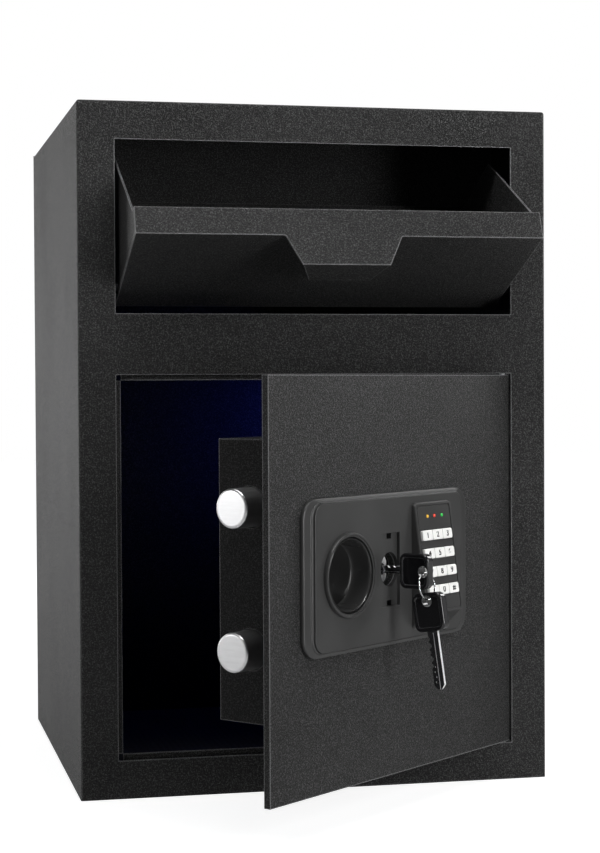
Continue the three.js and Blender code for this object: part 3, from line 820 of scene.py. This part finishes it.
def keypad_axes():
    """The keypad's sloped face: x across, y up it, z out of it, from the middle of its top edge."""
    points = [FACE.inverted() @ v.co for v in frame["nodes"]["keypad_housing"].data.vertices]
    top_out = max(p.z for p in points if p.y > PAD_HIGH.y - 1e-4)
    bottom = max(points, key=lambda p: p.z)
    rise = PAD_HIGH.y - bottom.y
    tilt = degrees(atan2(bottom.z - top_out, rise))
    middle = (PAD_LOW.x + PAD_HIGH.x) / 2
    return FACE @ shift(middle, PAD_HIGH.y, top_out) @ turn(-tilt, "X"), rise / cos(radians(tilt))


PAD, PAD_LONG = keypad_axes()


def keypad_case():
    wide = (PAD_HIGH.x - PAD_LOW.x) / MM
    long = PAD_LONG / MM
    to_face = FACE.inverted() @ PAD
    foot_long = (PAD_HIGH.y - PAD_LOW.y) / MM
    foot = rounded_loop(wide, foot_long, 3.2, PAD_LOW.z / MM, 0, 0, 8)
    middle_x = (PAD_LOW.x + PAD_HIGH.x) / 2
    middle_y = (PAD_LOW.y + PAD_HIGH.y) / 2
    loops = [[p + Vector((middle_x, middle_y, 0)) for p in foot]]
    steps = [  # inset from the face's outline, height over the face, corner
        (0.0, -1.2, 3.4),
        (0.12, -0.6, 3.3),
        (0.45, -0.15, 3.0),
        (1.0, 0.0, 2.8),
        (2.2, 0.0, 2.2),
        (2.35, -0.2, 2.1),
        (2.4, -1.0, 2.0),
        (3.0, -1.0, 1.7),
        (3.05, -0.3, 1.6),
    ]
    for inset, height, corner in steps:
        ring = rounded_loop(wide - 2 * inset, long - 2 * inset, corner, height, 0, -long / 2, 8)
        loops.append([to_face @ p for p in ring])
    case = made("keypad_case", skin(bmesh.new(), loops), FACE, PLASTIC)
    cutters = []
    for node in ("keypad_key_1", "keypad_key_4", "keypad_key_7", "keypad_key_star"):
        low, high = span(node, PAD)
        middle = (low.y + high.y) / 2
        half = (high.y - low.y) / 2 + 0.5 * MM
        reach = (wide / 2 - 3.7) * MM
        cutters.append(block("row", (-reach, middle - half, -4.2 * MM), (reach, middle + half, 4 * MM), PAD))
    for node in ("led_yellow", "led_red", "led_green"):
        low, high = span(node, PAD)
        at = PAD @ shift((low.x + high.x) / 2, (low.y + high.y) / 2, 0)
        cutters.append(drum("lamp_hole", 1.55, -1.8, 3, at, 32))
    cut_out(case, cutters)
    eased(case, 0.22, 2, 40)
    return stands_for(case, "door", "panel_plastic", "keypad_housing")


def key_cap(label):
    node = "keypad_key_" + label
    body = "button_" + label
    low, high = span(node, PAD)
    w, h = (high.x - low.x) / MM, (high.y - low.y) / MM
    top = high.z / MM
    place = PAD @ shift((low.x + high.x) / 2, (low.y + high.y) / 2, 0)
    steps = [
        (0.0, low.z / MM, 1.0),
        (0.0, top - 0.65, 1.2),
        (0.1, top - 0.35, 1.2),
        (0.3, top - 0.12, 1.3),
        (0.6, top, 1.4),
        (1.5, top - 0.1, 1.2),
        (2.8, top - 0.2, 0.6),
    ]
    loops = [rounded_loop(w - 2 * i, h - 2 * i, r, z, 0, 0, 6) for i, z, r in steps]
    cap = made("key_cap_" + label, skin(bmesh.new(), loops), place, WHITE_KEYS)
    stands_for(cap, body, "key_plastic", node)
    text = bpy.data.curves.new("print_" + label, "FONT")
    text.body = {"star": "*", "hash": "#"}.get(label, label)
    text.size = 0.84 * h * MM
    text.extrude = 0.02 * MM
    text.offset = 0.2 * MM
    text.align_x = "CENTER"
    text.align_y = "CENTER"
    writing = bpy.data.objects.new("print_" + label, text)
    bpy.context.scene.collection.objects.link(writing)
    graph = bpy.context.evaluated_depsgraph_get()
    mesh = bpy.data.meshes.new_from_object(writing.evaluated_get(graph))
    bpy.data.objects.remove(writing)
    drop = -1.2 * MM if label == "star" else 0
    mesh.transform(place @ shift(0, drop, (top - 0.14) * MM))
    mesh.materials.clear()
    mesh.materials.append(PRINT)
    printed = bpy.data.objects.new("key_print_" + label, mesh)
    bpy.context.scene.collection.objects.link(printed)
    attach(printed, body)


def lamp(node, colour):
    low, high = span(node, PAD)
    place = PAD @ shift((low.x + high.x) / 2, (low.y + high.y) / 2, 0)
    base = low.z / MM
    crown = high.z / MM
    r = 0.8 * (high.x - low.x) / 2 / MM
    profile = [(0, base), (r, base), (r, crown - 0.75), (r - 0.08, crown - 0.5), (r - 0.3, crown - 0.22)]
    profile += [(r / 2, crown - 0.06), (0, crown)]
    piece = lathe(node + "_lens", profile, place, lens(node + "_tint", colour, 0.3), 32)
    stands_for(piece, "door", node, node)


keypad_case()
for label in (*"123456789", "star", "0", "hash"):
    key_cap(label)
lamp("led_yellow", (0.85, 0.5, 0.06))
lamp("led_red", (0.8, 0.06, 0.03))
lamp("led_green", (0.05, 0.55, 0.1))


# ---- Keys --------------------------------------------------------------------------------------------
def key_head(name, node, body, axes, hole_at):
    """A moulded head: rounded edges, a raised rim round a sunk field, and a hole for the ring."""
    low, high = span(node, axes)
    w, h = (high.x - low.x) / MM, (high.y - low.y) / MM
    half = (high.z - low.z) / 2 / MM
    x, y = (low.x + high.x) / 2 / MM, (low.y + high.y) / 2 / MM
    rim = [
        (3.3, half - 0.7, 2.4),
        (2.8, half - 0.65, 2.8),
        (2.3, half - 0.15, 3.1),
        (2.0, half, 3.4),
        (1.2, half, 4.2),
        (0.8, half - 0.12, 4.5),
        (0.35, half - 0.45, 4.8),
        (0.05, half - 1.0, 5.0),
        (0.0, half - 1.5, 5.0),
    ]
    steps = [(i, -z, r) for i, z, r in rim] + list(reversed(rim))
    loops = [rounded_loop(w - 2 * i, h - 2 * i, r, z, x, y, 8) for i, z, r in steps]
    head = made(name, skin(bmesh.new(), loops), axes, HEAD)
    cut_out(head, [drum("ring_hole", 3.8, -6, 6, axes @ shift(hole_at[0], hole_at[1], 0), 48)])
    eased(head, 0.25, 2, 50)
    return stands_for(head, body, "head_plastic", node)


def bitted(length, half, cuts, shoulder):
    """A blade's outline in x along and y across, with V cuts along its lower edge."""
    outline = [(0, half), (length - 3, half), (length, half - 2.6), (length, 2.6 - half), (length - 3, -half)]
    for at, deep in reversed(cuts):
        outline += [(at + deep * 0.9 + 0.7, -half), (at + 0.7, deep - half)]
        outline += [(at - 0.7, deep - half), (at - deep * 0.9 - 0.7, -half)]
    outline += [(shoulder, -half), (0, -half)]
    return outline


CUTS = [(11, 1.2), (15.5, 2.0), (20, 0.9), (24.5, 2.2), (29, 1.5)]


def key_blade(name, node, body, axes, along):
    """A steel blade, milled and dimpled on both sides, with a painted highlight along its edges: a pale,
    barely metallic finish on the edge faces.
    """
    low, high = span(node, axes)
    middle = (low + high) / 2
    thick = (high.z - low.z) / MM
    if along == "down":
        length, half = (high.y - low.y) / MM, (high.x - low.x) / 2 / MM
        place = axes @ shift(middle.x, high.y, middle.z) @ turn(-90, "Z")
    else:
        length, half = (high.x - low.x) / MM, (high.y - low.y) / 2 / MM
        place = axes @ shift(high.x, middle.y, middle.z) @ turn(180, "Z")
    outline = bitted(length, half, [(a, d * half / 4) for a, d in CUTS if a < length - 8], 8)
    blade = prism(name, outline, -thick / 2, thick / 2, place, BLADE)
    cutters = []
    for sign in (-1, 1):
        face = sign * thick / 2
        z = sorted((face + sign * 0.2, face - sign * 0.5))
        groove_low = Vector((7, 0.1 * half, z[0])) * MM
        groove_high = Vector((length, 0.5 * half, z[1])) * MM
        cutters.append(block("groove", groove_low, groove_high, place))
        for i in range(4):
            at = place @ shift((length - 5 - 3.4 * i) * MM, (-0.45 + 0.2 * (i % 2)) * half * MM, 0)
            cutters.append(drum("dimple", 0.55, z[0], z[1], at, 20))
    cut_out(blade, cutters)
    eased(blade, 0.14, 2, 30)
    # painted highlight: the edge faces get the pale steel so they show as a bright line
    blade.data.materials.append(PALE_STEEL_AND_EDGE_SHEEN)
    thickness = place.to_3x3() @ Vector((0, 0, 1))
    for polygon in blade.data.polygons:
        polygon.material_index = int(abs(polygon.normal.dot(thickness)) < 0.5)
    return stands_for(blade, body, "bolt_chrome", node)


def split_ring():
    """A split ring: a wire of two close turns, across the holes in both heads."""
    low, high = span("key_ring", HANG_AXES)
    middle = (low + high) / 2
    wire = (high.x - low.x) / 4 / MM
    r = (high.z - low.z) / 2 / MM - wire
    path = []
    steps = 120
    for i in range(steps + 1):
        a = radians(40 + 700 * i / steps)
        lift = (i / steps - 0.5) * 2 * wire
        path.append((r * cos(a), r * sin(a), lift))
    ring = tube("split_ring", path, wire, HANG_AXES @ shift(*middle) @ turn(90, "Y"), CHROME)
    return stands_for(ring, "ring", "bolt_chrome", "key_ring")


RING_LOW, RING_HIGH = span("key_ring", HANG_AXES)
RING_X = (RING_LOW.x + RING_HIGH.x) / 2
SPARE_LOW, SPARE_HIGH = span("spare_key_head", HANG_AXES)
key_head("key_head_turning", "key_head_inserted", "override_key", KEY_AXES, (RING_X, 0))
key_head("key_head_hanging", "spare_key_head", "spare_key", HANG_AXES, (RING_X, SPARE_HIGH.y - 5.5 * MM))
key_blade("key_blade_turning", "key_blade_inserted", "override_key", KEY_AXES, "in")
key_blade("key_blade_hanging", "spare_key_blade", "spare_key", HANG_AXES, "down")
split_ring()


# ---- Back of the door --------------------------------------------------------------------------------
def battery_lid():
    """A ribbed lid with a finger latch, over the battery bay on the inner cover."""
    low, high = span("battery_lid", DOOR)
    back = DOOR @ shift((low.x + high.x) / 2, 0, (low.z + high.z) / 2) @ turn(-90, "X")
    w, h = (high.x - low.x) / MM, (high.z - low.z) / MM
    z0 = low.y / MM
    z1 = high.y / MM - 1.0
    steps = [(0, z0, 1.5), (0, z1 - 0.4, 1.5), (0.15, z1 - 0.1, 1.6), (0.5, z1, 1.8)]
    loops = [rounded_loop(w - 2 * i, h - 2 * i, r, z, 0, 0, 6) for i, z, r in steps]
    lid = made("lid", skin(bmesh.new(), loops), back, PLASTIC)
    ribs = []
    for i in range(5):
        at = -12 + i * 6
        rib = [(22, at - 0.9, 0), (22, at - 0.6, 0.55), (21.4, at - 0.3, 0.9)]
        loops = [rounded_loop(2 * a, 1.8 * 0.5 + 0.9 - c, 0.3, z1 - 0.1 + c, 0, at, 3) for a, b, c in rib]
        ribs.append(made("rib", skin(bmesh.new(), loops), back, PLASTIC))
    latch_y = -(h / 2 - 8)
    loops = [rounded_loop(20 - c, 5 - c, 1.2, z1 - 0.1 + c, 0, latch_y, 6) for c in (0, 0.6, 1.0)]
    ribs.append(made("latch", skin(bmesh.new(), loops), back, PLASTIC))
    ribbed = joined("battery_lid_ribbed", [lid, *ribs])
    return stands_for(ribbed, "battery_cover", "panel_plastic", "battery_lid")


def cover_screws():
    """Pan-head screws in the corners of the inner cover."""
    low, high = span("inner_cover", DOOR)
    screws = []
    for x in (low.x + 9 * MM, high.x - 9 * MM):
        for z in (low.z + 9 * MM, high.z - 9 * MM):
            place = DOOR @ shift(x, high.y, z) @ turn(-90, "X")
            profile = [(0, -1.5), (2, -1.5), (2, 0), (3.9, 0), (3.9, 0.5), (3.4, 1.2), (2.2, 1.7), (0, 1.9)]
            screw = lathe("screw", profile, place, STEEL, 40)
            slots = [
                block("slot", Vector((-2, -0.45, 0.6)) * MM, Vector((2, 0.45, 3)) * MM, place),
                block("slot", Vector((-0.45, -2, 0.6)) * MM, Vector((0.45, 2, 3)) * MM, place),
            ]
            screws.append(cut_out(screw, slots))
    return stands_for(joined("cover_screws", screws), "door", "plated_steel")


battery_lid()
cover_screws()


# ---- Floor, light and camera -------------------------------------------------------------------------
FLOOR_NEAR, FLOOR_GLOW = 0.86, 0.08  # the floor's own light: as seen by the object, and as it lights it
ROOM, BACKDROP = 0.0, 0.06  # how bright the surroundings are in front and behind
LIGHTS = {  # place, target, size, power
    "left": ((-2.2, -0.3, 0.5), (0, 0, 0.26), (0.5, 0.7), 5.0),
    "left_front": ((-1.7, -1.3, 1.0), (0, 0, 0.26), (1.2, 1.6), 3),
    "top": ((0.1, 0.1, 2.0), (0, 0, 0.26), (1.6, 1.6), 12),
    "right_strip": ((1.3, -0.19, 0.27), (0, -0.29, 0.2), (0.25, 0.5), 0.15),
    "right_near": ((0.8, -1.35, 0.5), (0.05, -0.2, 0.3), (0.3, 0.9), 13),
    "right_close": ((0.55, -0.08, 0.5), (0.12, -0.19, 0.28), (0.15, 0.25), 0.9),
    "back_left": ((-1.2, 1.6, 0.8), (0, 0, 0.26), (0.8, 1.2), 7.6),
    "back_left_low": ((-1.2, 1.6, 0.25), (0, 0, 0.2), (0.8, 0.4), 4.0),
    "brow": ((-0.05, -0.5, 0.8), (-0.05, -0.17, 0.47), (0.4, 0.1), 1.6),
}


VAULT_GLOW = ((0.06, 0.12, 0.26), (-0.1, 0.17, 0.2), (0.1, 0.1), 0.06)  # in the vault, onto its back
BLUE = (0.05, 0.09, 1.0)


def floor():
    """A pale floor that fades to white away from the object."""
    bm = bmesh.new()
    bmesh.ops.create_grid(bm, x_segments=8, y_segments=8, size=6)
    plane = made("floor", bm)
    m = Finish("floor_white", 0.6, specular=0.2)
    m.colour(m.ramp(m.noise(3), [(0.3, 0.48), (0.7, 0.52)]))
    m.shader.inputs["Emission Color"].default_value = (1, 1, 1, 1)
    distance = m.nodes.new("ShaderNodeVectorMath")
    distance.operation = "LENGTH"
    m.links.new(m.place, distance.inputs[0])
    seen = m.nodes.new("ShaderNodeMapRange")
    glow = m.nodes.new("ShaderNodeMapRange")
    seen.inputs["From Min"].default_value = 0.35
    seen.inputs["From Max"].default_value = 1.1
    seen.inputs["To Min"].default_value = FLOOR_NEAR
    glow.inputs["To Min"].default_value = FLOOR_GLOW
    m.links.new(distance.outputs["Value"], seen.inputs["Value"])
    m.links.new(seen.outputs["Result"], glow.inputs["To Max"])
    m.links.new(m.nodes.new("ShaderNodeLightPath").outputs["Is Camera Ray"], glow.inputs["Value"])
    m.links.new(glow.outputs["Result"], m.shader.inputs["Emission Strength"])
    plane.data.materials.append(m.material)


def softbox(name, place, target, size, power, colour=(1, 1, 1)):
    light = bpy.data.lights.new(name, "AREA")
    light.shape = "RECTANGLE"
    light.size, light.size_y = size
    light.energy = power
    light.color = colour
    lamp_object = bpy.data.objects.new(name, light)
    lamp_object.location = place
    aim = Vector(target) - Vector(place)
    lamp_object.rotation_euler = aim.to_track_quat("-Z", "Y").to_euler()
    bpy.context.scene.collection.objects.link(lamp_object)
    return lamp_object


def studio():
    """A white backdrop behind the object, a darker room in front of it, and soft boxes around it."""
    world = bpy.data.worlds.new("studio")
    bpy.context.scene.world = world
    world.use_nodes = True
    nodes, links = world.node_tree.nodes, world.node_tree.links
    seen = nodes["Background"]
    seen.inputs["Color"].default_value = (1, 1, 1, 1)
    seen.inputs["Strength"].default_value = 1.0
    lit = nodes.new("ShaderNodeBackground")
    lit.inputs["Color"].default_value = (1, 1, 1, 1)
    direction = nodes.new("ShaderNodeTexCoord").outputs["Generated"]
    axes = nodes.new("ShaderNodeSeparateXYZ")
    links.new(direction, axes.inputs[0])
    depth = nodes.new("ShaderNodeMapRange")
    depth.interpolation_type = "SMOOTHSTEP"
    depth.inputs["From Min"].default_value = -0.5
    depth.inputs["From Max"].default_value = 0.9
    depth.inputs["To Min"].default_value = ROOM
    depth.inputs["To Max"].default_value = BACKDROP
    links.new(axes.outputs["Y"], depth.inputs["Value"])
    links.new(depth.outputs["Result"], lit.inputs["Strength"])
    path = nodes.new("ShaderNodeLightPath")
    choose = nodes.new("ShaderNodeMixShader")
    links.new(path.outputs["Is Camera Ray"], choose.inputs["Fac"])
    links.new(lit.outputs[0], choose.inputs[1])
    links.new(seen.outputs[0], choose.inputs[2])
    links.new(choose.outputs[0], nodes["World Output"].inputs["Surface"])
    for name, (place, target, size, power) in LIGHTS.items():
        softbox(name, place, target, size, power)
    softbox("vault_glow", *VAULT_GLOW, BLUE)
    bpy.context.scene.view_settings.view_transform = "Standard"


CAMERA = {"place": (-0.324, -1.542, 0.298), "yaw": 12.79, "pitch": 1.29, "roll": -0.29, "lens": 81.16}


def camera():
    data = bpy.data.cameras.new("camera")
    data.lens = CAMERA["lens"]
    data.sensor_width = 36
    data.clip_start, data.clip_end = 0.05, 50
    eye = bpy.data.objects.new("camera", data)
    aim = turn(-CAMERA["yaw"], "Z") @ turn(90 - CAMERA["pitch"], "X") @ turn(CAMERA["roll"], "Z")
    eye.matrix_world = shift(*CAMERA["place"]) @ aim
    bpy.context.scene.collection.objects.link(eye)
    bpy.context.scene.camera = eye


floor()
studio()
camera()
